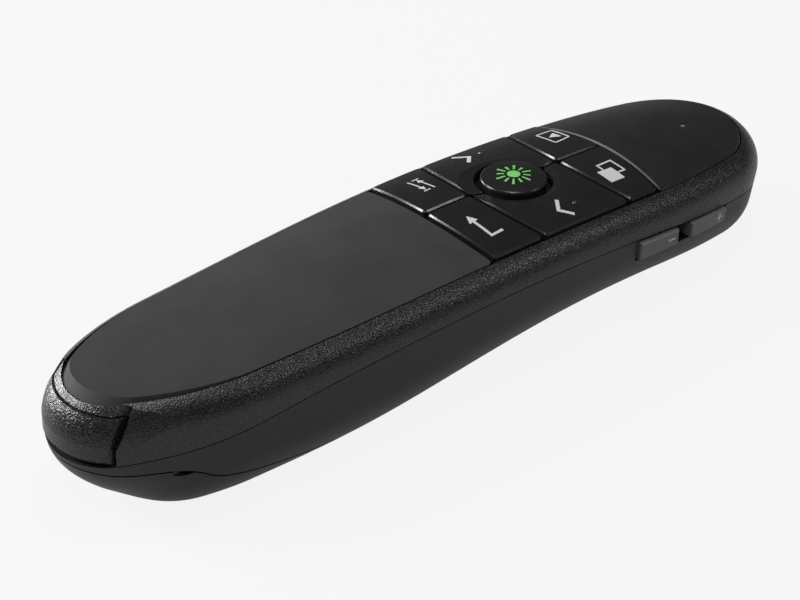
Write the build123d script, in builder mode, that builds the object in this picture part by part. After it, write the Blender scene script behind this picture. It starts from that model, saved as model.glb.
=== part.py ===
"""Wireless presentation clicker: a curved hand-held remote with a laser and a stored USB receiver.

Frame: X runs from the tail to the nose, Y to the user's left, Z up. The origin is on the surface that
the clicker stands on, under the middle of its length. The pieces are drawn level and leaned forward onto
the tail and the nose as they are written. All sizes are in millimetres.
"""
import os
from math import cos, radians

from build123d import *

os.makedirs("parts", exist_ok=True)

# --- Stance ---------------------------------------------------------------------------------------
LEAN_DEGREES = 1.152            # turn about Y that brings the nose down onto the surface
LEAN_SLOPE = 0.0201             # its tangent
STAND_MOVE = (-0.75, 0, -0.885) # centres the leaned clicker and sets it down

# --- Body -----------------------------------------------------------------------------------------
TAIL_X = -67.95                 # tail tip, at the rim
RIM_LEVEL = 20.0                # height at which the plan outline is drawn
RAKE = 0.0015                   # growth of the plan outline for each mm of height, about the tail tip
# Half of the plan outline from the tail tip: radius and turn of each tangent arc. The nose arc closes it.
BODY_ARCS = [(10.6, 59.0), (43.9, 27.0), (828.0, 5.76), (118.0, 8.71)]
RIM_ARCS = [(11.6, 61.0), (41.5, 25.0), (828.0, 5.77), (118.0, 8.7)]    # the inlays keep to this one
# Height of the crown along the middle, and its sag at 14 mm from the middle.
CROWN_LINE = [(-74, 18.6), (-65, 19.9), (-43, 21.05), (-13, 23.0), (13, 23.0),
              (35, 22.0), (51, 20.95), (65, 19.4), (74, 18.2)]
CROWN_SAG = [(-74, 0.8), (-55, 0.95), (-35, 1.6), (-13, 2.25), (13, 1.95), (35, 2.05), (51, 2.4), (74, 2.8)]
SAG_SPAN = 14.0
CROWN_HALF = 19.0               # half width of the crown tool, wider than the body
X_BEYOND = 100.0                # a place well past the nose
# The belly is flat where the tail stands, along the lean.
STAND_X = (-50.0, -38.0)
BELLY_TAIL = [(-74, 11.8), (-66, 6.45), (-59.5, 2.5), (STAND_X[0], -6 * LEAN_SLOPE)]
BELLY_FRONT = [(STAND_X[1], 6 * LEAN_SLOPE), (-20, 1.1), (-3, 3.2), (15, 4.8), (35, 4.5), (53, 2.8), (74, 0.6)]
PARTING_LINE = [(-74, 10.0), (-67, 10.8), (-64, 11.2), (-54, 12.1), (-43, 13.4), (-29, 15.0), (-12, 16.2),
                (6, 16.6), (29, 15.4), (42, 14.1), (56, 12.7), (74, 12.0)]
PARTING_GAP = 0.15
# The tail arc moves forward as it rises or drops from the widest level: height, move.
TAIL_LEAN = [(-3, 6.0), (3, 2.3), (8, 0.45), (11, -0.15), (14, -0.05), (16, 0.6), (17.5, 1.55), (19.2, 3.2),
             (22, 6.5)]
SHOULDER_R = 4.6
BELLY_R = 8.0
WALL = 1.6
FLOOR = 1.5                     # thickness of the belly

# --- Top inlays and keys --------------------------------------------------------------------------
RIM = 3.0                       # width of the rim round the inlays
RECESS = 1.4                    # depth of the recess that the inlays lie in
DECK = 1.0                      # thickness of the deck under the recess
INLAY_GAP = 0.2
KEY_GAP = 0.35                  # between the rim and a key
ROW_GAP = 0.7                   # between two rows of keys
SPLIT_GAP = 0.45                # between left and right keys
KEY_PROUD = 0.5
KEY_BOTTOM = 0.85               # underside of the key plates, below the crown
KEY_TRAVEL = 0.4
KEY_CORNER = 0.6
EDGE = 0.25                     # chamfer round keys and nose panel
# Borders across the top: x at SAG_SPAN from the middle, and x in the middle.
PALM_BORDER = (0.9, -0.5)
FIRST_BORDER = (11.7, 9.0)
SECOND_BORDER = (30.5, 27.7)
NOSE_BORDER = (36.75, 37.9)
WINDOW = (1.5, 36.0, 12.5)      # opening in the deck below the keys: x from, x to, half width
LASER_KEY_X = 18.3
LASER_HOLE_R = 6.2
BUTTON_R = 5.2
BUTTON_PROUD = 0.6              # top of the laser button above the keys
DOME_R = 27.0
BRIM = 0.45                     # rounding of its rim
DISH_R = 32.0                   # finger hollow round the laser button
DISH_EDGE_R = 8.2
DOT_R = 0.6                     # raised dots for the fingers
DOT_PLACE = (21.4, 10.4)
BEVEL_FOOT = 19.0               # foot of the 45-degree bevel round the palm panel's tail
BEVEL_END = -46.0               # x at which it has run out

# --- Electronics ----------------------------------------------------------------------------------
BOARD_Z = (14.6, 15.6)
BOARD_X = (4.5, 60.0)
BOARD_INSET = 2.7
SWITCH_TOP = 18.1
SWITCH_PLACES = [(7.0, 8.0), (7.0, -8.0), (19.0, 10.2), (19.0, -10.2), (32.5, 6.5), (32.5, -6.5),
                 (LASER_KEY_X, 0.0)]
PLUNGER_R = 1.25
PLUNGER_TIP = SWITCH_TOP + KEY_TRAVEL + 0.15
LAMP = (55.1, -2.0)             # indicator in the nose panel
PIPE_R = 0.6

# --- Laser ----------------------------------------------------------------------------------------
BEAM_Z = 10.5
BARREL_R = 3.2
BARREL_X = (48.5, 61.5)
NOSE_HOLE_R = 3.5

# --- Power and volume -----------------------------------------------------------------------------
VOLUME_OPENING = [(28.9, 17.5), (28.9, 11.7), (51.4, 10.5), (51.4, 17.5)]
VOLUME_KEYS = {"volume_down_key": (29.4, 38.4, -15.0), "volume_up_key": (41.6, 50.8, -14.2)}
VOLUME_PROUD = 0.7
CARRIER_Y = (-13.6, -12.9)
SLIDER_X = (8.0, 16.0)          # power slider in its off position
SLIDER_TRAVEL = 4.0
SLIDER_Z = (12.8, 15.4)
SLIDER_Y = (16.25, 17.3)

# --- Cells and receiver ---------------------------------------------------------------------------
CELL_R = 5.25                   # AAA cell: 10.5 mm across, 44.5 mm long with its nub
CELL_LENGTH = 43.7
NUB = (1.9, 0.8)
CELL_Y = 5.5
BAY = Plane(origin=(-29.2, 0, 8.3), x_dir=(1, 0, 0.06), z_dir=(-0.06, 0, 1))
BAY_HALF = 24.4                 # half of the space for a cell and its spring
SPRING_LENGTH = 3.4
DOOR_SEAM = [(-74, 9.9), (-66.5, 9.75), (-63, 9.4), (-59.5, 9.35), (-57, 9.15), (-55, 8.7), (-53.4, 8.05),
             (-51, 6.7), (-49, 6.1), (-46.5, 5.6), (-43, 5.0), (-38, 4.2), (-32, 3.5), (-27, 3.1), (-18, 3.5),
             (-5, 4.7)]
THUMB_NOTCH = (-55.6, 11.6, 3.4, -11.7)  # round bite in the door's edge: x, z, radius, inner end
DOOR_FRONT = -5.0
DOOR_GAP = 0.12                 # on each side of the seam
TAB_Z = (5.45, 6.1)             # hinge tabs that reach over the belly of the lower housing
CAP_X = -60.8                   # inner end of the receiver's cap
CAP_HALF = 7.6
CAP_GAP = 0.6                   # on each side of the cap, wide enough for fingernails
CAP_Z = (11.45, 17.6)
CAP_BROW = 18.05                # its top edge, outside the recess of the palm panel
CAP_BEVEL = (0.65, 0.4)         # bevel along its lower edge: height, depth
CAP_PROUD = 0.15
# Facet beside the cap for a fingertip: a point, the run of its outer edge, and the way it faces.
SCOOP = Plane(origin=(-63.87, -8.31, 14.09), x_dir=(0.498, 0, 0.867), z_dir=(-0.815, 0.34, 0.468))
PLUG = (-61.4, -49.0, 6.0, 12.9, 17.4)   # USB-A shell: x from, x to, half width, z from, z to
SHEET = 0.35                    # its wall
SCREW_PLACES = [(-0.6, 7.5, 6.2), (-0.6, -7.5, 6.2), (53.0, 7.2, 5.0), (53.0, -7.2, 5.0)]
SCREW_R = 0.95
SCREW_LENGTH = 9.0
BOSS_R = 2.2
HEAD_HOLE_R = 2.1
BOSS_TOP = 12.0


def block(x, y, z, mode=Mode.ADD):
    """A box between two limits on each axis, in the current part."""
    centre = ((x[0] + x[1]) / 2, (y[0] + y[1]) / 2, (z[0] + z[1]) / 2)
    with Locations(centre):
        Box(x[1] - x[0], y[1] - y[0], z[1] - z[0], mode=mode)


def post(x, y, z, radius, mode=Mode.ADD):
    """An upright cylinder between two heights, in the current part."""
    with Locations((x, y, z[0])):
        Cylinder(radius, z[1] - z[0], align=(Align.CENTER, Align.CENTER, Align.MIN), mode=mode)


def rod_x(x, y, z, radius, mode=Mode.ADD):
    """A cylinder along X between two limits, in the current part."""
    with Locations(Location(((x[0] + x[1]) / 2, y, z), (0, 90, 0))):
        Cylinder(radius, x[1] - x[0], mode=mode)


def rod_y(x, y, z, radius, mode=Mode.ADD):
    """A cylinder along Y between two limits, in the current part."""
    with Locations(Location((x, (y[0] + y[1]) / 2, z), (90, 0, 0))):
        Cylinder(radius, y[1] - y[0], mode=mode)


def between(table, x):
    """Straight-line reading of a table of pairs."""
    for (x0, value0), (x1, value1) in zip(table, table[1:]):
        if x0 <= x <= x1:
            return value0 + (value1 - value0) * (x - x0) / (x1 - x0)
    raise ValueError(f"{x} lies outside the table")


def crown_height(x, y):
    """Height of the crown, near enough to place what hangs below it."""
    return between(CROWN_LINE, x) - between(CROWN_SAG, x) * (y / SAG_SPAN) ** 2


def outline(level, inset=0.0, arcs=BODY_ARCS):
    """Plan outline of the body at a height, drawn on that level."""
    growth = 1 + RAKE * (level - RIM_LEVEL)
    with BuildSketch(Plane.XY.offset(level)) as plan:
        with BuildLine():
            start, direction, heading = (TAIL_X, 0), (0, 1), 90.0
            for radius, turn in arcs:
                arc = JernArc(start=start, tangent=direction, radius=radius * growth, arc_size=-turn)
                start, direction, heading = arc @ 1, arc % 1, heading - turn
            nose_radius = start.Y / cos(radians(heading))
            JernArc(start=start, tangent=direction, radius=nose_radius, arc_size=-(90 + heading))
            mirror(about=Plane.XZ)
        make_face()
        if inset:
            offset(amount=-inset, mode=Mode.REPLACE)
    return plan.sketch


def under_crown(drop=0.0):
    """Everything below the crown, lowered by drop."""
    heights = dict(CROWN_LINE)
    crown = Spline(*[(x, 0, z) for x, z in CROWN_LINE])
    with BuildPart() as below:
        for x, sag in CROWN_SAG:
            middle = heights[x] if x in heights else crown.intersect(Plane.YZ.offset(x))[0].Z
            middle -= drop
            side = middle - sag * (CROWN_HALF / SAG_SPAN) ** 2
            with BuildSketch(Plane.YZ.offset(x)):
                with BuildLine():
                    ThreePointArc((-CROWN_HALF, side), (0, middle), (CROWN_HALF, side))
                    Polyline((CROWN_HALF, side), (CROWN_HALF, -6), (-CROWN_HALF, -6), (-CROWN_HALF, side))
                make_face()
        loft()
    return below.part


def side_view(draw, half_width=20.0):
    """Extrude an outline drawn in the XZ plane to both sides."""
    with BuildPart() as slab:
        with BuildSketch(Plane.XZ):
            with BuildLine():
                draw()
            make_face()
        extrude(amount=half_width, both=True)
    return slab.part


def over_belly(rise=0.0):
    """Everything above the belly line, raised by rise."""
    def draw():
        tail = [(x, z + rise) for x, z in BELLY_TAIL]
        front = [(x, z + rise) for x, z in BELLY_FRONT]
        Spline(*tail, tangents=[(1, -0.6), (1, LEAN_SLOPE)])
        Line(tail[-1], front[0])
        Spline(*front, tangents=[(1, LEAN_SLOPE), (1, -0.1)])
        Polyline(front[-1], (front[-1][0], 40), (tail[0][0], 40), tail[0])
    return side_view(draw)


def over_parting(shift):
    """Everything above the parting line."""
    def draw():
        line = [(x, z + shift) for x, z in PARTING_LINE]
        Spline(*line)
        Polyline(line[-1], (line[-1][0], 40), (line[0][0], 40), line[0])
    return side_view(draw)


def door_region(gap):
    """Everything that lies on the door's side of its seam."""
    def draw():
        seam = [(x, z + gap) for x, z in DOOR_SEAM[:-1]] + [(DOOR_FRONT + gap, DOOR_SEAM[-1][1] + gap)]
        Spline(*seam)
        Polyline(seam[-1], (seam[-1][0], -5), (seam[0][0], -5), seam[0])
    return side_view(draw)


def tail_lean(inset=0.0):
    """Everything in front of the tail's rounded end."""
    radius, turn = BODY_ARCS[0]
    with BuildPart() as leaning:
        for level, move in TAIL_LEAN:
            with BuildSketch(Plane.XY.offset(level)):
                with BuildLine():
                    tip = (TAIL_X + move + inset, 0)
                    arc = JernArc(start=tip, tangent=(0, 1), radius=radius - inset, arc_size=-turn)
                    side = Line(arc @ 1, (arc @ 1) + (arc % 1) * 170)
                    Line(side @ 1, (X_BEYOND + move, (side @ 1).Y))
                    Line((X_BEYOND + move, (side @ 1).Y), (X_BEYOND + move, 0))
                    mirror(about=Plane.XZ)
                make_face()
        loft()
    return leaning.part


def hull(inset=0.0, drop=0.0, rise=0.0, shoulder=0.0):
    """The whole body's form, or the space inside it."""
    low, high = outline(-2, inset), outline(26, inset)
    crown, belly, leaning = under_crown(drop), over_belly(rise), tail_lean(inset)
    with BuildPart() as form:
        add(low)
        add(high)
        loft(ruled=True)
        add(crown, mode=Mode.INTERSECT)
        add(belly, mode=Mode.INTERSECT)
        walls = form.faces().filter_by(lambda face: abs(face.normal_at().Z) < 0.3)
        under = form.faces().filter_by(lambda face: face.normal_at().Z < -0.5)
        fillet(walls.edges() & under.edges(), BELLY_R - inset)
        if shoulder:
            walls = form.faces().filter_by(lambda face: abs(face.normal_at().Z) < 0.3)
            top = form.faces().filter_by(lambda face: face.normal_at().Z > 0.7)
            fillet(walls.edges() & top.edges(), shoulder)
        add(leaning, mode=Mode.INTERSECT)
    return form.part


BODY = hull(shoulder=SHOULDER_R)
CAVITY = hull(inset=WALL, drop=RECESS + DECK, rise=FLOOR)
INSIDE = hull(inset=WALL + 0.2, drop=RECESS + DECK + 0.2, rise=FLOOR + 0.2)   # room with clearance
ABOVE_PARTING = over_parting(PARTING_GAP / 2)
ABOVE_PARTING_LOW = over_parting(-PARTING_GAP / 2)
UNDER_RECESS = under_crown(RECESS)


def top_plate(plan, top, bottom):
    """A plate of the given plan between two offsets of the crown."""
    upper, lower = under_crown(-top), under_crown(bottom)
    with BuildPart() as plate:
        add(plan)
        extrude(amount=20)
        upright = plate.edges().filter_by(Axis.Z)
        fillet(upright.filter_by(lambda edge: edge.length > 19), KEY_CORNER)
        add(upper, mode=Mode.INTERSECT)
        add(lower, mode=Mode.SUBTRACT)
    return plate.part


def border(line, shift):
    """Arc across the top between two rows, as three points, moved along X by shift."""
    side_x, middle_x = line
    reach = CROWN_HALF
    end_x = middle_x + (side_x - middle_x) * (reach / SAG_SPAN) ** 2
    return (end_x + shift, -reach), (middle_x + shift, 0), (end_x + shift, reach)


def row_plan(rear, front, inset, side=0, hole_radius=0.0):
    """Plan of a key or inlay between two borders; side 1 is its left half, -1 its right half."""
    rim_line = outline(RIM_LEVEL, RIM + inset, RIM_ARCS)
    with BuildSketch(Plane.XY.offset(10)) as plan:
        with BuildLine():
            rear_points = border(rear, ROW_GAP / 2)
            front_points = border(front, -ROW_GAP / 2)
            ThreePointArc(*rear_points)
            ThreePointArc(*front_points)
            Line(rear_points[0], front_points[0])
            Line(rear_points[2], front_points[2])
        make_face()
        add(rim_line.moved(Location((0, 0, -RIM_LEVEL))), mode=Mode.INTERSECT)
        if side:
            with Locations((0, -side * (40 - SPLIT_GAP / 2))):
                Rectangle(200, 80, mode=Mode.SUBTRACT)
        if hole_radius:
            with Locations((LASER_KEY_X, 0)):
                Circle(hole_radius, mode=Mode.SUBTRACT)
    return plan.sketch


def key(plan, switch, hook_x=None, dished=False, dotted=False):
    """A key: its plate, the plunger over its switch, and a hook that holds it under the deck."""
    plate = top_plate(plan, KEY_PROUD, KEY_BOTTOM)
    x, y = switch
    side = 1 if y > 0 else -1
    with BuildPart() as whole:
        add(plate)
        top = whole.faces().filter_by(lambda face: face.normal_at().Z > 0.8)
        chamfer(top.sort_by(Axis.Z)[-1].edges(), EDGE)
        if dished:
            rise = (DISH_R ** 2 - DISH_EDGE_R ** 2) ** 0.5
            with Locations((LASER_KEY_X, 0, crown_height(LASER_KEY_X, 0) + KEY_PROUD + rise - 0.15)):
                Sphere(DISH_R, mode=Mode.SUBTRACT)
        if dotted:
            dot_x, dot_y = DOT_PLACE
            with Locations((dot_x, side * dot_y, crown_height(dot_x, dot_y) + KEY_PROUD - 0.15)):
                Sphere(DOT_R)
        post(x, y, (PLUNGER_TIP, crown_height(x, y) - KEY_BOTTOM + 0.3), PLUNGER_R)
        if hook_x is not None:
            half = WINDOW[2]
            under_deck = crown_height(hook_x, half + 0.6) - RECESS - DECK - 0.15
            leg_top = crown_height(hook_x, half - 0.8) - KEY_BOTTOM + 0.2
            block((hook_x - 1.5, hook_x + 1.5), sorted((side * (half - 1.2), side * (half - 0.4))),
                  (under_deck - 0.8, leg_top))
            block((hook_x - 1.5, hook_x + 1.5), sorted((side * (half - 0.4), side * (half + 0.6))),
                  (under_deck - 0.8, under_deck))
    return whole.part


def write(part, name):
    """Lean a finished piece onto the surface, label it and write its STEP file."""
    standing = part.moved(Location(STAND_MOVE, (0, LEAN_DEGREES, 0)))
    standing.label = name
    export_step(standing, f"parts/{name}.step")


# --- Housings -------------------------------------------------------------------------------------
notch = (CAP_HALF + CAP_GAP, CAP_Z[1] + 0.25)       # half width and ceiling of the receiver's notch


def brow(half, low, high, inset):
    """A low arch along the tail's edge, outside the recess of the palm panel."""
    with BuildPart() as arch:
        block((-70, CAP_X), (-half, half), (low, high))
        with BuildSketch(Plane.XY.offset(low - 1)):
            add(outline(RIM_LEVEL, inset, RIM_ARCS).moved(Location((0, 0, -RIM_LEVEL))))
        extrude(amount=high - low + 2, mode=Mode.SUBTRACT)
    return arch.part


with BuildPart() as scoops:
    with BuildSketch(SCOOP):
        with Locations((2.5, -0.05)):
            Rectangle(7.5, 1.9)
    extrude(amount=3)
    mirror(about=Plane.XZ)

with BuildPart() as recess:
    with BuildSketch(Plane.XY.offset(10)):
        add(outline(RIM_LEVEL, RIM, RIM_ARCS).moved(Location((0, 0, -RIM_LEVEL))))
    extrude(amount=20)
    add(UNDER_RECESS, mode=Mode.SUBTRACT)

with BuildPart() as upper_housing:
    add(BODY)
    add(ABOVE_PARTING, mode=Mode.INTERSECT)
    add(CAVITY, mode=Mode.SUBTRACT)
    add(recess.part, mode=Mode.SUBTRACT)
    with BuildSketch(Plane.XY.offset(10)):
        with Locations(((WINDOW[0] + WINDOW[1]) / 2, 0)):
            RectangleRounded(WINDOW[1] - WINDOW[0], 2 * WINDOW[2], 2)
    extrude(amount=14, mode=Mode.SUBTRACT)
    for x, y, _ in SCREW_PLACES:
        post(x, y, (BOSS_TOP, crown_height(x, y) - RECESS - 0.4), BOSS_R)
        post(x, y, (BOSS_TOP, BOSS_TOP + 5), SCREW_R + 0.05, mode=Mode.SUBTRACT)
    for x, y in [(10, 13.5), (10, -13.5), (41, 11.5), (41, -11.5)]:
        post(x, y, (BOARD_Z[1], crown_height(x, y) - RECESS - 0.4), 0.8)
    block((-70, CAP_X + 0.6), (-notch[0], notch[0]), (9, notch[1]), mode=Mode.SUBTRACT)
    add(brow(notch[0], notch[1] - 0.1, CAP_BROW + 0.25, RIM - 0.3), mode=Mode.SUBTRACT)
    add(scoops.part, mode=Mode.SUBTRACT)
    rod_x((60, 70), 0, BEAM_Z, NOSE_HOLE_R, mode=Mode.SUBTRACT)
    post(*LAMP, (10, 24), PIPE_R + 0.1, mode=Mode.SUBTRACT)
write(upper_housing.part, "upper_housing")

with BuildPart() as lower_housing:
    add(BODY)
    add(ABOVE_PARTING_LOW, mode=Mode.SUBTRACT)
    add(CAVITY, mode=Mode.SUBTRACT)
    for x, y, head_z in SCREW_PLACES:
        post(x, y, (head_z - 1.6, BOSS_TOP - 0.1), HEAD_HOLE_R + 0.6)
        post(x, y, (0, BOSS_TOP), SCREW_R + 0.2, mode=Mode.SUBTRACT)
        post(x, y, (0, head_z), HEAD_HOLE_R, mode=Mode.SUBTRACT)
    add(door_region(DOOR_GAP), mode=Mode.SUBTRACT)
    with BuildSketch(Plane.XZ):
        with BuildLine():
            Polyline(*VOLUME_OPENING, close=True)
        make_face()
    extrude(amount=20, mode=Mode.SUBTRACT)
    block((SLIDER_X[0] - 0.5, SLIDER_X[1] + SLIDER_TRAVEL + 0.5), (SLIDER_Y[0] - 0.15, 20),
          (SLIDER_Z[0] - 0.4, SLIDER_Z[1] + 0.4), mode=Mode.SUBTRACT)
    block((10.5, 17.5), (14, 17), (13.6, 14.6), mode=Mode.SUBTRACT)
    rod_x((60, 70), 0, BEAM_Z, NOSE_HOLE_R, mode=Mode.SUBTRACT)
write(lower_housing.part, "lower_housing")

with BuildPart() as battery_door:
    add(BODY)
    add(door_region(-DOOR_GAP), mode=Mode.INTERSECT)
    add(CAVITY, mode=Mode.SUBTRACT)
    for side in (1, -1):
        reach = sorted((side * 9.6, side * 11.0))
        block((-8.5, DOOR_FRONT - DOOR_GAP), reach, (3.9, TAB_Z[1]))
        block((DOOR_FRONT - DOOR_GAP, -3.0), reach, TAB_Z)
    notch_x, notch_z, notch_r, notch_y = THUMB_NOTCH
    rod_y(notch_x, (-20, notch_y), notch_z, notch_r, mode=Mode.SUBTRACT)
write(battery_door.part, "battery_door")

# --- Inlays ---------------------------------------------------------------------------------------
TAIL_LIMIT = (-90.0, -91.0)         # borders beyond the two ends of the recess
NOSE_LIMIT = (90.0, 91.0)

palm_plan = row_plan(TAIL_LIMIT, PALM_BORDER, INLAY_GAP)
with BuildPart() as bevel_tool:
    block((-70, BEVEL_END), (-16, 16), (BEVEL_FOOT, 23))
    with BuildSketch(Plane.XY.offset(BEVEL_FOOT)):
        add(palm_plan.moved(Location((0, 0, -10))))
    extrude(amount=8, dir=(1, 0, 1), mode=Mode.SUBTRACT)

with BuildPart() as palm_panel:
    add(top_plate(palm_plan, 0.0, RECESS - 0.05))
    add(bevel_tool.part, mode=Mode.SUBTRACT)
write(palm_panel.part, "palm_panel")

with BuildPart() as nose_panel:
    add(top_plate(row_plan(NOSE_BORDER, NOSE_LIMIT, INLAY_GAP), 0.15, RECESS - 0.05))
    chamfer(nose_panel.faces().filter_by(lambda face: face.normal_at().Z > 0.8).sort_by(Axis.Z)[-1].edges(),
            EDGE)
    post(*LAMP, (10, 24), PIPE_R + 0.05, mode=Mode.SUBTRACT)
write(nose_panel.part, "nose_panel")

# --- Keys -----------------------------------------------------------------------------------------
for name, rear, front, switch, hook_x, hole in [
    ("tab_key", PALM_BORDER, FIRST_BORDER, 0, 6.0, 0),
    ("enter_key", PALM_BORDER, FIRST_BORDER, 1, 6.0, 0),
    ("previous_key", FIRST_BORDER, SECOND_BORDER, 2, 23.7, LASER_HOLE_R),
    ("next_key", FIRST_BORDER, SECOND_BORDER, 3, 23.7, LASER_HOLE_R),
    ("show_key", SECOND_BORDER, NOSE_BORDER, 4, 33.3, 0),
    ("blank_key", SECOND_BORDER, NOSE_BORDER, 5, 33.3, 0),
]:
    place = SWITCH_PLACES[switch]
    half_plan = row_plan(rear, front, KEY_GAP, side=1 if place[1] > 0 else -1, hole_radius=hole)
    write(key(half_plan, place, hook_x, dished=hole > 0, dotted=hole > 0), name)

with BuildPart() as laser_button:
    crown_top = crown_height(LASER_KEY_X, 0)
    dome_z = crown_top + KEY_PROUD + BUTTON_PROUD
    face_r = BUTTON_R - BRIM
    face_z = dome_z - face_r ** 2 / (2 * DOME_R)
    flange_r = LASER_HOLE_R + 0.7
    flange_z = (crown_top - 2.6, crown_top - 1.9)
    with BuildSketch(Plane.XZ):
        with BuildLine():
            Polyline((0, dome_z), (0, PLUNGER_TIP), (PLUNGER_R, PLUNGER_TIP), (PLUNGER_R, flange_z[0]),
                     (flange_r, flange_z[0]), (flange_r, flange_z[1]), (BUTTON_R, flange_z[1]),
                     (BUTTON_R, face_z - BRIM))
            ThreePointArc((BUTTON_R, face_z - BRIM), (BUTTON_R - 0.27 * BRIM, face_z - 0.3 * BRIM),
                          (face_r, face_z))
            Spline((face_r, face_z), (face_r / 2, dome_z - (dome_z - face_z) / 4), (0, dome_z),
                   tangents=[(-1, face_r / DOME_R), (-1, 0)])
        make_face()
    revolve(axis=Axis.Z)
write(laser_button.part.moved(Location((LASER_KEY_X, 0, 0))), "laser_button")

KEY_FACES = hull(inset=-VOLUME_PROUD)
for name, (x0, x1, back_y) in VOLUME_KEYS.items():
    middle_x = (x0 + x1) / 2
    with BuildPart() as volume_key:
        with BuildSketch(Plane.XZ):
            with BuildLine():
                low = [(x, 11.95 - 0.053 * (x - 29.4)) for x in (x0, x1)]
                high = [(x, 14.9 - 0.088 * (x - 29.4)) for x in (x1, x0)]
                Polyline(*low, *high, close=True)
            make_face()
        extrude(amount=20)
        add(KEY_FACES, mode=Mode.INTERSECT)
        chamfer(volume_key.faces().sort_by(Axis.Y)[0].edges(), EDGE)
        block((x0 - 1, x1 + 1), (back_y, 0), (5, 20), mode=Mode.SUBTRACT)
        rod_y(middle_x, (back_y - 0.2, -12.6), 13.2, 0.7)
    write(volume_key.part, name)

with BuildPart() as power_slider:
    block(SLIDER_X, SLIDER_Y, SLIDER_Z)
    add(BODY, mode=Mode.INTERSECT)
    for ridge in range(5):
        ridge_x = SLIDER_X[0] + 1.6 + 1.2 * ridge
        block((ridge_x - 0.25, ridge_x + 0.25), (SLIDER_Y[1] - 0.65, 18), SLIDER_Z, mode=Mode.SUBTRACT)
    block((11.0, 13.0), (11.6, SLIDER_Y[0] + 0.1), (13.75, 14.45))
write(power_slider.part, "power_slider")

# --- Boards and switches --------------------------------------------------------------------------
with BuildPart() as main_board:
    with BuildSketch(Plane.XY.offset(BOARD_Z[0])):
        add(outline(BOARD_Z[0], BOARD_INSET).moved(Location((0, 0, -BOARD_Z[0]))))
        with Locations(((BOARD_X[0] + BOARD_X[1]) / 2, 0)):
            Rectangle(BOARD_X[1] - BOARD_X[0], 60, mode=Mode.INTERSECT)
    extrude(amount=BOARD_Z[1] - BOARD_Z[0])
    for x, y, _ in SCREW_PLACES[2:]:
        post(x, y, (10, 20), BOSS_R + 0.4, mode=Mode.SUBTRACT)
write(main_board.part, "main_board")

with BuildPart() as key_switches:
    for x, y in SWITCH_PLACES:
        block((x - 2.25, x + 2.25), (y - 2.25, y + 2.25), (BOARD_Z[1], BOARD_Z[1] + 1.6))
        post(x, y, (BOARD_Z[1] + 1.6, SWITCH_TOP), 0.9)
write(key_switches.part, "key_switches")

with BuildPart() as side_switches:
    for x0, x1, back_y in VOLUME_KEYS.values():
        x = (x0 + x1) / 2
        block((x - 2.25, x + 2.25), (-11.7, -9.7), (12.2, BOARD_Z[0]))
        rod_y(x, (-12.15, -11.7), 13.2, 0.7)
write(side_switches.part, "side_switches")

with BuildPart() as volume_carrier:
    block((27.5, 52.3), CARRIER_Y, (9.8, BOARD_Z[0] - 0.1))
    add(INSIDE, mode=Mode.INTERSECT)
    for x0, x1, back_y in VOLUME_KEYS.values():
        rod_y((x0 + x1) / 2, (-15, -11), 13.2, 1.0, mode=Mode.SUBTRACT)
write(volume_carrier.part, "volume_carrier")

with BuildPart() as slide_switch:
    block((9.0, 19.0), (10.2, 12.6), (12.0, BOARD_Z[0]))
    block((10.6, 17.4), (11.3, 13), (13.4, 14.5), mode=Mode.SUBTRACT)
write(slide_switch.part, "slide_switch")

with BuildPart() as radio_module:
    block((30, 42), (-5, 5), (BOARD_Z[0] - 0.8, BOARD_Z[0]))
    block((31, 39), (-4, 4), (BOARD_Z[0] - 2.2, BOARD_Z[0] - 0.8))
write(radio_module.part, "radio_module")

with BuildPart() as controller_chip:
    block((14, 21), (-3.5, 3.5), (BOARD_Z[0] - 1.0, BOARD_Z[0]))
write(controller_chip.part, "controller_chip")

with BuildPart() as board_parts:
    for x, y in [(24, 3), (24, -3), (26.5, 6), (26.5, -6), (12, 6), (12, -6)]:
        block((x - 0.8, x + 0.8), (y - 0.4, y + 0.4), (BOARD_Z[0] - 0.7, BOARD_Z[0]))
    post(44.0, 6.5, (BOARD_Z[0] - 2.4, BOARD_Z[0]), 1.6)
write(board_parts.part, "board_parts")

with BuildPart() as status_led:
    block((LAMP[0] - 0.8, LAMP[0] + 0.8), (LAMP[1] - 0.4, LAMP[1] + 0.4), (BOARD_Z[1], BOARD_Z[1] + 0.6))
write(status_led.part, "status_led")

with BuildPart() as light_pipe:
    pipe_top = crown_height(*LAMP) + 0.2
    under_deck = crown_height(*LAMP) - RECESS - DECK - 0.25
    post(*LAMP, (BOARD_Z[1] + 0.8, pipe_top), PIPE_R)
    post(*LAMP, (under_deck - 0.5, under_deck), PIPE_R + 0.6)
    fillet(light_pipe.edges().sort_by(Axis.Z)[-1], 0.3)
write(light_pipe.part, "light_pipe")

# --- Laser ----------------------------------------------------------------------------------------
with BuildPart() as laser_module:
    rod_x(BARREL_X, 0, BEAM_Z, BARREL_R)
    rod_x((BARREL_X[1] - 1.5, BARREL_X[1] + 1), 0, BEAM_Z, 2.7, mode=Mode.SUBTRACT)
    for groove_x in (51.0, 59.0):
        with Locations(Location((groove_x, 0, BEAM_Z), (0, 90, 0))):
            Torus(BARREL_R, 0.25, mode=Mode.SUBTRACT)
write(laser_module.part, "laser_module")

with BuildPart() as laser_lens:
    rod_x((BARREL_X[1] - 1.45, BARREL_X[1] - 0.2), 0, BEAM_Z, 2.6)
write(laser_lens.part, "laser_lens")

with BuildPart() as laser_driver:
    block((46.9, BARREL_X[0] - 0.05), (-3.4, 3.4), (BEAM_Z - 3.2, BEAM_Z + 3.2))
write(laser_driver.part, "laser_driver")

with BuildPart() as laser_cradle:
    block((50, 60), (-4.4, 4.4), (3, BEAM_Z - 0.5))
    add(INSIDE, mode=Mode.INTERSECT)
    rod_x((49, 61), 0, BEAM_Z, BARREL_R + 0.05, mode=Mode.SUBTRACT)
write(laser_cradle.part, "laser_cradle")

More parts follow.
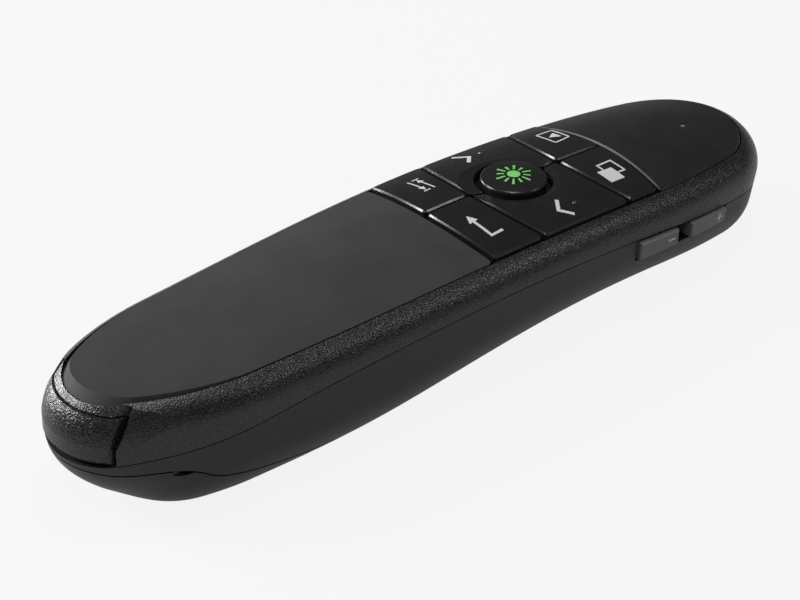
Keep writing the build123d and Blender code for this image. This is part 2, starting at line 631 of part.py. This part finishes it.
with BuildPart() as laser_bezel:
    rod_x((63.6, 70), 0, BEAM_Z, NOSE_HOLE_R - 0.1)
    add(BODY, mode=Mode.INTERSECT)
    rod_x((62, 70), 0, BEAM_Z, 1.9, mode=Mode.SUBTRACT)
    rod_x((62, 64.6), 0, BEAM_Z, 2.6, mode=Mode.SUBTRACT)
write(laser_bezel.part, "laser_bezel")

with BuildPart() as laser_window:
    rod_x((63.8, 64.55), 0, BEAM_Z, 2.55)
write(laser_window.part, "laser_window")

# --- Cells and their tray -------------------------------------------------------------------------
with BuildPart() as battery_tray:
    with Locations(BAY.location):
        with Locations((0, 0, 2.4)):
            Box(2 * BAY_HALF + 2.2, 23.8, 7.8)
        for side in (1, -1):
            with Locations(Location((0, side * CELL_Y, 0), (0, 90, 0))):
                Cylinder(CELL_R + 0.25, 2 * BAY_HALF, mode=Mode.SUBTRACT)
        with Locations((0, 0, -3)):
            Box(2 * BAY_HALF, 4 * CELL_R + 1, 6, mode=Mode.SUBTRACT)
        with Locations((-BAY_HALF + 0.2, 0, 0)):
            Box(0.5, 17.4, 7.4, mode=Mode.SUBTRACT)
    add(INSIDE, mode=Mode.INTERSECT)
    block((-60, -47.3), (-12, 12), (12.25, 20), mode=Mode.SUBTRACT)
write(battery_tray.part, "battery_tray")

for name, side in [("battery_left", 1), ("battery_right", -1)]:
    # The cells lie head to tail: each nub points away from its spring.
    with BuildPart() as cell:
        with Locations(BAY.location):
            with Locations(Location((-side * (BAY_HALF - 0.4 - SPRING_LENGTH - CELL_LENGTH / 2), side * CELL_Y, 0),
                                    (0, 90, 0))):
                Cylinder(CELL_R, CELL_LENGTH)
            nub_x = -side * (BAY_HALF - 0.4 - SPRING_LENGTH - CELL_LENGTH - NUB[1] / 2)
            with Locations(Location((nub_x, side * CELL_Y, 0), (0, 90, 0))):
                Cylinder(NUB[0], NUB[1])
        fillet(cell.edges().filter_by(lambda edge: edge.length > 30), 0.5)
    write(cell.part, name)

with BuildPart() as coil:
    with BuildLine() as coil_line:
        turn = Helix(pitch=1.05, height=SPRING_LENGTH - 0.75, radius=3.2)
    with BuildSketch(Plane(origin=turn @ 0, z_dir=turn % 0)):
        Circle(0.3)
    sweep()

with BuildPart() as battery_springs:
    for side in (1, -1):
        foot = Location((-side * (BAY_HALF - 0.8), side * CELL_Y, 0), (0, side * 90, 0))
        add(coil.part.moved(BAY.location * foot))
write(battery_springs.part, "battery_springs")

with BuildPart() as battery_contacts:
    with Locations(BAY.location):
        with Locations((-BAY_HALF + 0.2, 0, 0)):
            Box(0.35, 17, 7)
        for side in (1, -1):
            with Locations((BAY_HALF - 0.2, side * CELL_Y, 0)):
                Box(0.35, 7, 7)
write(battery_contacts.part, "battery_contacts")

# --- Receiver and its dock ------------------------------------------------------------------------
plug_x0, plug_x1, plug_half, plug_z0, plug_z1 = PLUG

with BuildPart() as receiver_cap:
    block((-70, CAP_X), (-CAP_HALF, CAP_HALF), CAP_Z)
    add(brow(CAP_HALF, CAP_Z[1] - 0.1, CAP_BROW, RIM - 0.55))
    add(hull(inset=-CAP_PROUD, shoulder=SHOULDER_R), mode=Mode.INTERSECT)
    lower_rim = receiver_cap.faces().sort_by(Axis.Z)[0].edges().sort_by(Axis.X)[0]
    chamfer(lower_rim, length=CAP_BEVEL[0], length2=CAP_BEVEL[1])
    block((-65.2, CAP_X + 1), (-5.6, 5.6), (13.3, 17.0), mode=Mode.SUBTRACT)
    block((plug_x0 - 0.05, CAP_X + 1), (-plug_half - 0.05, plug_half + 0.05), (plug_z0 - 0.05, plug_z1 + 0.05),
          mode=Mode.SUBTRACT)
write(receiver_cap.part, "receiver_cap")

with BuildPart() as receiver_plug:
    block((plug_x0, plug_x1), (-plug_half, plug_half), (plug_z0, plug_z1))
    fillet(receiver_plug.edges().filter_by(Axis.X), 0.4)
    block((plug_x0 - 1, plug_x1 + 1), (-plug_half + SHEET, plug_half - SHEET),
          (plug_z0 + SHEET, plug_z1 - SHEET), mode=Mode.SUBTRACT)
    for side in (1, -1):
        block((-54.6, -52.4), sorted((side * 1.6, side * 3.9)), (17, 18), mode=Mode.SUBTRACT)
        block((-54.6, -52.4), sorted((side * 1.6, side * 3.9)), (12, 13.2), mode=Mode.SUBTRACT)
write(receiver_plug.part, "receiver_plug")

with BuildPart() as receiver_tongue:
    block((plug_x0 + 0.3, plug_x1 - 0.4), (-5.5, 5.5), (15.2, 16.95))
write(receiver_tongue.part, "receiver_tongue")

with BuildPart() as receiver_contacts:
    for number in range(4):
        strip_y = -3.6 + 2.4 * number
        block((-58.5, -50.2), (strip_y - 0.5, strip_y + 0.5), (15.0, 15.2))
write(receiver_contacts.part, "receiver_contacts")

with BuildPart() as receiver_board:
    block((-65.0, plug_x0 - 0.1), (-5.4, 5.4), (14.0, 14.8))
    block((-64.6, -62.0), (-2, 2), (14.8, 15.7))
write(receiver_board.part, "receiver_board")

with BuildPart() as receiver_dock:
    block((-60.05, -47.6), (-7.1, 7.1), (12.52, 17.6))
    block((-60.05, -59.3), (-9.6, 9.6), (11.9, 17.6))
    add(INSIDE, mode=Mode.INTERSECT)
    block((-61, -48.4), (-6.3, 6.3), (12.75, 18.5), mode=Mode.SUBTRACT)
    block((-58.2, -49.8), (6, 6.5), (13.7, 16.7), mode=Mode.SUBTRACT)
write(receiver_dock.part, "receiver_dock")

with BuildPart() as dock_spring:
    with BuildSketch(Plane.XY.offset(14.0)):
        with BuildLine():
            Polyline((-58, 6.45), (-54, 6.1), (-50, 6.45), (-50, 6.3), (-54, 6.05), (-58, 6.3), close=True)
        make_face()
    extrude(amount=2.4)
write(dock_spring.part, "dock_spring")

# --- Fasteners ------------------------------------------------------------------------------------
with BuildPart() as housing_screws:
    for x, y, head_z in SCREW_PLACES:
        post(x, y, (head_z - 1.2, head_z), 1.8)
        post(x, y, (head_z, head_z + SCREW_LENGTH), SCREW_R)
        block((x - 1.1, x + 1.1), (y - 0.2, y + 0.2), (head_z - 1.3, head_z - 0.7), mode=Mode.SUBTRACT)
        block((x - 0.2, x + 0.2), (y - 1.1, y + 1.1), (head_z - 1.3, head_z - 0.7), mode=Mode.SUBTRACT)
write(housing_screws.part, "housing_screws")
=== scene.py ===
"""Looks of the wireless presentation clicker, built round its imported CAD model."""
import math

import bmesh
import bpy
from mathutils import Matrix, Vector
from mathutils.bvhtree import BVHTree


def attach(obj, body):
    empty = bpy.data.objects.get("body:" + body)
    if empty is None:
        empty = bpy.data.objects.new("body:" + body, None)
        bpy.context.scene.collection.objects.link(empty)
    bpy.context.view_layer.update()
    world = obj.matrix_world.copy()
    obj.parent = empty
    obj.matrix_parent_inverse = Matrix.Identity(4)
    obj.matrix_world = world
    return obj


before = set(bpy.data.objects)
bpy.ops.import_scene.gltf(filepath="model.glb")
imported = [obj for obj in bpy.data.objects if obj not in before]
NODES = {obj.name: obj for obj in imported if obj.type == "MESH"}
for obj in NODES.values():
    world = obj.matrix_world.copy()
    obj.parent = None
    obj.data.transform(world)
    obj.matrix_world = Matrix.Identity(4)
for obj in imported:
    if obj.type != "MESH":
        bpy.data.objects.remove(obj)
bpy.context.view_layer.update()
MM = 0.001

# The clicker was drawn level, then leaned nose down onto its rests, as in the part's source.
LEAN_DEGREES = 1.152
LEAN_MOVE = (-0.75 * MM, 0, -0.885 * MM)
LEAN = Matrix.Translation(LEAN_MOVE) @ Matrix.Rotation(math.radians(LEAN_DEGREES), 4, "Y")

# --- Camera -----------------------------------------------------------------------------------------
TURN, DROP, ROLL = 0.828, 0.557, 0.021      # heading, downward tilt and roll, in radians
TARGET = Vector((0, 0, 23 * MM))
DISTANCE = 360.97 * MM
SHIFT_RIGHT, SHIFT_UP = 3.944 * MM, 12.519 * MM
FOCAL = 108.01


def add_camera():
    look = Vector((math.cos(DROP) * math.cos(TURN), math.cos(DROP) * math.sin(TURN), -math.sin(DROP)))
    right = Vector((math.sin(TURN), -math.cos(TURN), 0))
    up = right.cross(look)
    right_rolled = right * math.cos(ROLL) + up * math.sin(ROLL)
    up_rolled = up * math.cos(ROLL) - right * math.sin(ROLL)
    data = bpy.data.cameras.new("camera")
    data.lens = FOCAL
    data.sensor_width = 36
    data.clip_start = 0.01
    data.clip_end = 20
    camera = bpy.data.objects.new("camera", data)
    bpy.context.scene.collection.objects.link(camera)
    place = TARGET - look * DISTANCE - right_rolled * SHIFT_RIGHT - up_rolled * SHIFT_UP
    turn = Matrix((right_rolled, up_rolled, -look)).transposed()
    camera.matrix_world = LEAN @ Matrix.Translation(place) @ turn.to_4x4()
    bpy.context.scene.camera = camera


# --- Materials --------------------------------------------------------------------------------------
class Nodes:
    """A material's node tree, with short calls for its nodes."""

    def __init__(self, name):
        self.material = bpy.data.materials.new(name)
        self.material.use_nodes = True
        self.tree = self.material.node_tree
        self.shader = self.tree.nodes["Principled BSDF"]
        self.output = self.tree.nodes["Material Output"]
        place = self.tree.nodes.new("ShaderNodeTexCoord")
        self.place = place.outputs["Object"]

    def node(self, kind, **values):
        made = self.tree.nodes.new(kind)
        for name, value in values.items():
            socket = name.replace("_", " ")
            if socket in made.inputs:
                made.inputs[socket].default_value = value
            else:
                setattr(made, name, value)
        return made

    def link(self, start, end):
        self.tree.links.new(start, end)

    def noise(self, size, detail=2.0):
        """Noise with features of about this size in metres."""
        noise = self.node("ShaderNodeTexNoise", Scale=1 / size, Detail=detail, Roughness=0.5)
        self.link(self.place, noise.inputs["Vector"])
        return noise.outputs["Fac"]

    def ramp(self, value, stops):
        ramp = self.node("ShaderNodeValToRGB")
        elements = ramp.color_ramp.elements
        while len(elements) < len(stops):
            elements.new(0.5)
        for element, (place, colour) in zip(elements, stops):
            element.position = place
            element.color = (*colour, 1)
        self.link(value, ramp.inputs["Fac"])
        return ramp.outputs["Color"]

    def range(self, value, low, high):
        spread = self.node("ShaderNodeMapRange", To_Min=low, To_Max=high)
        self.link(value, spread.inputs["Value"])
        return spread.outputs["Result"]

    def bump(self, height, distance):
        bump = self.node("ShaderNodeBump", Strength=1.0, Distance=distance)
        self.link(height, bump.inputs["Height"])
        return bump.outputs["Normal"]


COOL = (1.0, 1.0, 1.05)                      # tints that a grey is multiplied by
NEUTRAL = (1.0, 1.0, 1.0)
GREENISH = (1.0, 1.03, 0.98)
BLUISH = (0.96, 1.0, 1.08)
WARM = (1.03, 1.0, 0.95)
LACQUER = (0.2, 1.2, 0.5)
SLEEVE_BLUE = (0.6, 1.0, 1.6)
DARK_STOP, LIGHT_STOP = 0.38, 0.64           # noise values at which plastic is darkest and lightest
LOW_STOP, HIGH_STOP = 0.3, 0.7               # noise values between which the other materials change tone
GLOSS_PATCH = 0.8 * MM                       # size of the patches in which gloss varies on plastic
GLOSS_SPREAD = 0.05                          # how far roughness strays either way on plastic
ROUGH_SPREAD = 0.08                          # the same on metal and ink
SCRATCH = 0.4 * MM                           # spacing of the scratches on metal
SCRATCH_DEPTH = 0.01 * MM
INK_PATCH, INK_SPECK = 0.25 * MM, 0.15 * MM  # size of the patches in the ink's tone and in its gloss
INK_ROUGHNESS = 0.45
CLEAR_PATCH, CLEAR_HAZE = 2 * MM, 1 * MM     # the same for clear plastic
CLEAR_ROUGHNESS = (0.05, 0.12)
CLEARNESS = 0.9
METAL_SHADE, INK_SHADE, CLEAR_SHADE = 0.85, 0.88, 0.95    # share of the colour left in the darker patches
WHITE_INK = (0.66, 0.67, 0.66)
GREEN_INK = (0.21, 0.62, 0.17)


def grey(value, tint):
    return tuple(value * part for part in tint)


def shaded(colour, share):
    return [part * share for part in colour]


def moulded(name, dark, light, roughness, grain, depth, specular=0.5, tint=COOL, tone_and_glint_size=6 * MM):
    """Moulded plastic with a grain of a given size and depth, and uneven gloss.

    The tone varies from dark to light in patches of the last argument's size. Large patches are random
    tone. Fine patches are painted glints: light specks in the colour that stand in for the sparkle of the
    grain."""
    n = Nodes(name)
    stops = [(DARK_STOP, grey(dark, tint)), (LIGHT_STOP, grey(light, tint))]
    n.link(n.ramp(n.noise(tone_and_glint_size, 2), stops), n.shader.inputs["Base Color"])
    gloss = n.range(n.noise(GLOSS_PATCH, 3), roughness - GLOSS_SPREAD, roughness + GLOSS_SPREAD)
    n.link(gloss, n.shader.inputs["Roughness"])
    n.link(n.bump(n.noise(grain, 1), depth), n.shader.inputs["Normal"])
    n.shader.inputs["Specular IOR Level"].default_value = specular
    return n.material


def metal(name, colour, roughness, streak):
    """Metal with fine scratches, which are long along an axis where streak is under 1."""
    n = Nodes(name)
    stretch = n.node("ShaderNodeMapping")
    stretch.inputs["Scale"].default_value = streak
    n.link(n.place, stretch.inputs["Vector"])
    noise = n.node("ShaderNodeTexNoise", Scale=1 / SCRATCH, Detail=3.0)
    n.link(stretch.outputs["Vector"], noise.inputs["Vector"])
    stops = [(LOW_STOP, shaded(colour, METAL_SHADE)), (HIGH_STOP, colour)]
    n.link(n.ramp(noise.outputs["Fac"], stops), n.shader.inputs["Base Color"])
    gloss = n.range(noise.outputs["Fac"], roughness - ROUGH_SPREAD, roughness + ROUGH_SPREAD)
    n.link(gloss, n.shader.inputs["Roughness"])
    n.link(n.bump(noise.outputs["Fac"], SCRATCH_DEPTH), n.shader.inputs["Normal"])
    n.shader.inputs["Metallic"].default_value = 1
    return n.material


def clear(name, colour):
    """Clear plastic or glass."""
    n = Nodes(name)
    n.link(n.range(n.noise(CLEAR_HAZE), *CLEAR_ROUGHNESS), n.shader.inputs["Roughness"])
    stops = [(LOW_STOP, colour), (HIGH_STOP, shaded(colour, CLEAR_SHADE))]
    n.link(n.ramp(n.noise(CLEAR_PATCH), stops), n.shader.inputs["Base Color"])
    n.shader.inputs["Transmission Weight"].default_value = CLEARNESS
    return n.material


def printed(name, colour):
    """Printing ink, a little uneven."""
    n = Nodes(name)
    stops = [(LOW_STOP, shaded(colour, INK_SHADE)), (HIGH_STOP, colour)]
    n.link(n.ramp(n.noise(INK_PATCH, 3), stops), n.shader.inputs["Base Color"])
    gloss = n.range(n.noise(INK_SPECK), INK_ROUGHNESS - ROUGH_SPREAD, INK_ROUGHNESS + ROUGH_SPREAD)
    n.link(gloss, n.shader.inputs["Roughness"])
    return n.material


def paint_nodes():
    # Plastics: name, darkest and lightest grey, roughness, size and depth of the grain, specular level.
    # The fine light flecks in grained_black and satin_black are painted glints, standing in for the sparkle
    # of their grain.
    grained = moulded("grained_black", 0.004, 0.040, 0.27, 0.24 * MM, 0.09 * MM, tone_and_glint_size=0.22 * MM)
    satin = moulded("satin_black", 0.011, 0.024, 0.38, 0.2 * MM, 0.02 * MM, tint=BLUISH, tone_and_glint_size=0.26 * MM)
    soft = moulded("soft_touch", 0.034, 0.039, 0.68, 0.2 * MM, 0.015 * MM, 0.3, tint=GREENISH)
    panel = moulded("panel_black", 0.014, 0.018, 0.38, 0.08 * MM, 0.005 * MM, 0.45)
    key = moulded("key_grey", 0.012, 0.015, 0.26, 0.08 * MM, 0.002 * MM)
    volume = moulded("volume_grey", 0.135, 0.150, 0.36, 0.07 * MM, 0.006 * MM, tint=WARM)
    # The fine light flecks in cap_black are painted glints, standing in for the sparkle of its grain.
    cap = moulded("cap_black", 0.004, 0.034, 0.24, 0.26 * MM, 0.11 * MM, tone_and_glint_size=0.28 * MM)
    inner = moulded("inner_plastic", 0.05, 0.06, 0.5, 0.1 * MM, 0.01 * MM)
    board = moulded("circuit_green", 0.05, 0.07, 0.3, 0.3 * MM, 0.005 * MM, tint=LACQUER)
    chip = moulded("switch_black", 0.015, 0.02, 0.35, 0.1 * MM, 0.008 * MM)
    white = moulded("tongue_white", 0.7, 0.78, 0.35, 0.1 * MM, 0.004 * MM, tint=NEUTRAL)
    sleeve = moulded("cell_sleeve", 0.14, 0.18, 0.25, 0.2 * MM, 0.004 * MM, tint=SLEEVE_BLUE)
    tin = metal("tinned_steel", (0.62, 0.61, 0.58), 0.3, (0.15, 1, 1))
    screw = metal("screw_steel", (0.18, 0.18, 0.19), 0.35, (1, 1, 0.3))
    brass = metal("brass", (0.66, 0.46, 0.2), 0.28, (1, 1, 1))
    gold = metal("gold_strip", (0.8, 0.56, 0.22), 0.25, (0.2, 1, 1))
    lens = clear("clear", (0.85, 0.88, 0.9))
    looks = {
        grained: ["upper_housing", "laser_bezel"],
        satin: ["lower_housing", "battery_door"],
        soft: ["palm_panel"],
        panel: ["nose_panel"],
        key: ["tab_key", "enter_key", "previous_key", "next_key", "show_key", "blank_key", "laser_button"],
        volume: ["volume_down_key", "volume_up_key", "power_slider"],
        cap: ["receiver_cap"],
        inner: ["volume_carrier", "battery_tray", "receiver_dock", "laser_cradle"],
        board: ["main_board", "receiver_board", "laser_driver"],
        chip: ["key_switches", "side_switches", "slide_switch", "controller_chip"],
        white: ["receiver_tongue", "status_led"],
        sleeve: ["battery_left", "battery_right"],
        tin: ["radio_module", "board_parts", "receiver_plug", "battery_springs", "battery_contacts",
              "dock_spring"],
        screw: ["housing_screws"],
        brass: ["laser_module"],
        gold: ["receiver_contacts"],
        lens: ["light_pipe", "laser_lens", "laser_window"],
    }
    for material, names in looks.items():
        for name in names:
            dress(NODES[name], material)


def dress(piece, material):
    piece.data.materials.clear()
    piece.data.materials.append(material)


# --- Signs on the keys ------------------------------------------------------------------------------
# Signs are drawn in millimetres on the level clicker: in X and Y for the keys on top, in X and Z for the
# flank. Two lengths are in metres, as in the rest of this script: INK and FAR.
INK = 0.02 * MM                              # how far the ink stands above the plastic, and reaches into it
FAR = 0.06                                   # how far off its key a point starts, before it drops on to it
ROW = 0.7                                    # spacing of the cuts that let the ink follow a curved key
MERGE = 0.001                                # points nearer to each other than this become one
ON_CUT = 0.0001                              # a point this near to a cut counts as on it
MITRE_LIMIT = 0.4                            # keeps the mitre of a sharp corner short
DISC_CORNERS = 28
CHEVRON_STROKE = 0.62
SQUARE_STROKE = 0.34
FRAME_STROKE = 0.3
TAB_STROKE = 0.28
VOLUME_STROKE = 0.34
TAB_ARROWS = [(6.75, 5.4, 1), (5.2, 10.0, -1)]    # x, y of the tail, and the way along y
TAB_NECK, TAB_TIP, TAB_STOP = 3.1, 4.3, 4.55      # distances from the tail
TAB_HEAD_HALF, TAB_STOP_HALF = 0.55, 0.65
SUN_X = 18.3
SUN_R = 1.05
SUN_RAYS = 12
RAY_START, RAY_SHORT, RAY_LONG = 1.5, 2.6, 3.0    # distances from the sun's centre
RAY_HALF_IN, RAY_HALF_OUT = 0.13, 0.21


def stroke(points, width, closed=False):
    """Outline quads of a line through the points, with mitred corners."""
    count = len(points)
    left, right = [], []
    for index, (x, y) in enumerate(points):
        before = points[index - 1] if closed or index else None
        after = points[(index + 1) % count] if closed or index < count - 1 else None
        normals = []
        for start, end in ((before, (x, y)), ((x, y), after)):
            if start and end:
                run = Vector((end[0] - start[0], end[1] - start[1])).normalized()
                normals.append(Vector((-run.y, run.x)))
        normal = sum(normals, Vector((0, 0))).normalized()
        reach = width / 2 / max(normal.dot(normals[0]), MITRE_LIMIT)
        left.append((x + normal.x * reach, y + normal.y * reach))
        right.append((x - normal.x * reach, y - normal.y * reach))
    quads = []
    for index in range(count if closed else count - 1):
        following = (index + 1) % count
        quads.append([left[index], left[following], right[following], right[index]])
    return quads


def disc(x, y, radius):
    turns = [2 * math.pi * index / DISC_CORNERS for index in range(DISC_CORNERS)]
    return [(x + radius * math.cos(turn), y + radius * math.sin(turn)) for turn in turns]


def sun():
    """A disc with rays round it, long and short in turn."""
    centre = Vector((SUN_X, 0))
    shapes = [disc(SUN_X, 0, SUN_R)]
    for ray in range(SUN_RAYS):
        turn = math.radians(360 / SUN_RAYS * (ray + 0.5))
        along = Vector((math.cos(turn), math.sin(turn)))
        aside = Vector((-math.sin(turn), math.cos(turn)))
        inner = centre + along * RAY_START
        outer = centre + along * (RAY_LONG if ray % 2 else RAY_SHORT)
        corners = [inner + aside * RAY_HALF_IN, inner - aside * RAY_HALF_IN,
                   outer - aside * RAY_HALF_OUT, outer + aside * RAY_HALF_OUT]
        shapes.append([tuple(corner) for corner in corners])
    return shapes


def tab_arrows():
    """Two arrows in opposite ways, each against its stop."""
    shapes = []
    for x, tail, way in TAB_ARROWS:
        neck, tip, stop = tail + TAB_NECK * way, tail + TAB_TIP * way, tail + TAB_STOP * way
        shapes += stroke([(x, tail), (x, neck)], TAB_STROKE)
        shapes += [[(x - TAB_HEAD_HALF, neck), (x, tip), (x + TAB_HEAD_HALF, neck)]]
        shapes += stroke([(x - TAB_STOP_HALF, stop), (x + TAB_STOP_HALF, stop)], TAB_STROKE)
    return shapes


def surface(node):
    mesh = NODES[node].data
    corners = [vertex.co.copy() for vertex in mesh.vertices]
    return BVHTree.FromPolygons(corners, [tuple(face.vertices) for face in mesh.polygons])


def flat_sign(shapes, on_top):
    """The polygons as flat triangles, cut in rows both ways."""
    bm = bmesh.new()
    for shape in shapes:
        corners = [Vector((x, y, 0)) if on_top else Vector((x, 0, y)) for x, y in shape]
        bm.faces.new([bm.verts.new(corner) for corner in corners])
    bmesh.ops.remove_doubles(bm, verts=bm.verts, dist=MERGE)
    bmesh.ops.triangulate(bm, faces=bm.faces)
    for axis in (Vector((1, 0, 0)), Vector((0, 1, 0)) if on_top else Vector((0, 0, 1))):
        places = [v.co.dot(axis) for v in bm.verts]
        cut = math.floor(min(places) / ROW) * ROW
        while cut < max(places):
            geometry = list(bm.verts) + list(bm.edges) + list(bm.faces)
            bmesh.ops.bisect_plane(bm, geom=geometry, plane_co=axis * cut, plane_no=axis, dist=ON_CUT)
            cut += ROW
    return bm


def print_sign(name, node, shapes, material, across=Vector((0, 0, -1))):
    """Thin ink on a node's outer face. The shapes are polygons, dropped on to the face along across."""
    bm = flat_sign(shapes, on_top=across.z != 0)
    lower = list(bm.verts)
    raised = bmesh.ops.extrude_face_region(bm, geom=list(bm.faces))
    upper = [item for item in raised["geom"] if isinstance(item, bmesh.types.BMVert)]
    face = surface(node)
    way = LEAN.to_3x3() @ across
    for verts, lift in ((lower, -INK), (upper, INK)):
        for vert in verts:
            start = LEAN @ (vert.co * MM - across * FAR)
            hit = face.ray_cast(start, way)[0]
            vert.co = hit - way * lift
    bmesh.ops.recalc_face_normals(bm, faces=bm.faces)
    mesh = bpy.data.meshes.new(name)
    bm.to_mesh(mesh)
    bm.free()
    sign = bpy.data.objects.new(name, mesh)
    bpy.context.scene.collection.objects.link(sign)
    dress(sign, material)
    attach(sign, node)


def add_signs():
    white = printed("sign_white", WHITE_INK)
    green = printed("sign_green", GREEN_INK)

    back = stroke([(17.0, 12.6), (18.9, 10.6), (17.1, 8.8)], CHEVRON_STROKE)
    print_sign("previous_sign", "previous_key", back, white)
    forward = stroke([(19.25, -8.5), (17.6, -10.6), (19.3, -12.4)], CHEVRON_STROKE)
    print_sign("next_sign", "next_key", forward, white)

    arrow = [(4.05, -4.4), (3.1, -6.25), (3.8, -6.15), (3.9, -10.2), (6.62, -10.03), (6.58, -9.55),
             (4.38, -9.72), (4.3, -6.1), (4.98, -6.0)]
    print_sign("enter_sign", "enter_key", [arrow], white)

    front = [(30.56, -6.16), (33.67, -6.22), (33.68, -9.28), (30.66, -9.3)]
    behind = [(31.98, -6.2), (31.98, -4.78), (35.07, -4.65), (35.2, -7.7), (33.67, -7.75)]
    print_sign("blank_sign", "blank_key", [front] + stroke(behind, SQUARE_STROKE), white)

    screen = [(32.7, 9.3), (32.85, 9.5), (36.0, 9.5), (36.2, 9.3), (36.0, 5.5), (35.8, 5.3), (32.8, 5.0),
              (32.6, 5.2)]
    play = [(35.3, 8.4), (33.4, 7.3), (35.2, 6.2)]
    print_sign("show_sign", "show_key", stroke(screen, FRAME_STROKE, closed=True) + [play], white)

    print_sign("tab_sign", "tab_key", tab_arrows(), white)
    print_sign("laser_sign", "laser_button", sun(), green)

    minus = stroke([(35.8, 13.0), (37.4, 12.9)], VOLUME_STROKE)
    plus = [(48.0, 12.29), (48.65, 12.26), (48.65, 12.95), (48.95, 12.93), (48.95, 12.25), (49.6, 12.22),
            (49.6, 11.92), (48.95, 11.95), (48.95, 11.25), (48.65, 11.27), (48.65, 11.96), (48.0, 11.99)]
    flank = Vector((0, 1, 0))
    print_sign("volume_down_sign", "volume_down_key", minus, white, flank)
    print_sign("volume_up_sign", "volume_up_key", [plus], white, flank)


# --- Stage ------------------------------------------------------------------------------------------
DUSK = (0.06, 0.06, 0.062, 1)                # colour of the world, beyond the floor and the lamps
AIM = Vector((0, 0, 0.01))                   # all lamps face this point
LAMPS = [                                    # name, place, size in metres, watts
    ("overhead", (0.02, -0.02, 1.0), (0.35, 0.27), 3.1),
    ("left_box", (-0.53, 0.62, 0.57), (0.29, 0.22), 7.7),
    ("low_left", (-0.25, 0.95, 0.13), (0.25, 0.21), 4.9),
    ("tail_box", (-0.40, -0.35, 0.85), (0.17, 0.125), 1.25),
    ("right_fill", (0.57, -0.53, 0.62), (0.185, 0.135), 1.05),
]
FLOOR_HALF = 3.0
FLOOR_COLOUR = (0.4, 0.4, 0.4, 1)
FLOOR_ROUGHNESS = 0.8
# Share of plain white in the floor as these rays see it. All other rays see its colour.
GLOW_SHARES = [("Is Camera Ray", 0.88), ("Is Glossy Ray", 0.26), ("Is Transmission Ray", 0.26)]


def area_light(name, place, size, power):
    data = bpy.data.lights.new(name, "AREA")
    data.shape = "RECTANGLE"
    data.size, data.size_y = size
    data.energy = power
    lamp = bpy.data.objects.new(name, data)
    bpy.context.scene.collection.objects.link(lamp)
    lamp.location = place
    lamp.rotation_euler = (Vector(place) - AIM).to_track_quat("Z", "Y").to_euler()


def floor_finish():
    """Grey that is lit by the lamps, mixed with plain white for the rays in GLOW_SHARES."""
    n = Nodes("floor_white")
    n.shader.inputs["Base Color"].default_value = FLOOR_COLOUR
    n.shader.inputs["Roughness"].default_value = FLOOR_ROUGHNESS
    glow = n.node("ShaderNodeEmission", Strength=1.0)
    rays = n.node("ShaderNodeLightPath")
    share = None
    for ray, part in GLOW_SHARES:
        dimmed = n.node("ShaderNodeMath", operation="MULTIPLY")
        dimmed.inputs[1].default_value = part
        n.link(rays.outputs[ray], dimmed.inputs[0])
        if share:
            either = n.node("ShaderNodeMath", operation="MAXIMUM")
            n.link(share, either.inputs[0])
            n.link(dimmed.outputs[0], either.inputs[1])
            share = either.outputs[0]
        else:
            share = dimmed.outputs[0]
    mix = n.node("ShaderNodeMixShader")
    n.link(share, mix.inputs[0])
    n.link(n.shader.outputs[0], mix.inputs[1])
    n.link(glow.outputs[0], mix.inputs[2])
    n.link(mix.outputs[0], n.output.inputs["Surface"])
    return n.material


def add_floor():
    mesh = bpy.data.meshes.new("floor")
    corners = [(x * FLOOR_HALF, y * FLOOR_HALF, 0) for x, y in ((-1, -1), (1, -1), (1, 1), (-1, 1))]
    mesh.from_pydata(corners, [], [(0, 1, 2, 3)])
    mesh.materials.append(floor_finish())
    floor = bpy.data.objects.new("floor", mesh)
    bpy.context.scene.collection.objects.link(floor)


def add_stage():
    world = bpy.data.worlds.new("studio")
    bpy.context.scene.world = world
    world.use_nodes = True
    world.node_tree.nodes["Background"].inputs["Color"].default_value = DUSK
    for lamp in LAMPS:
        area_light(*lamp)
    add_floor()


add_camera()
paint_nodes()
add_signs()
add_stage()
bpy.context.scene.view_settings.view_transform = "Standard"
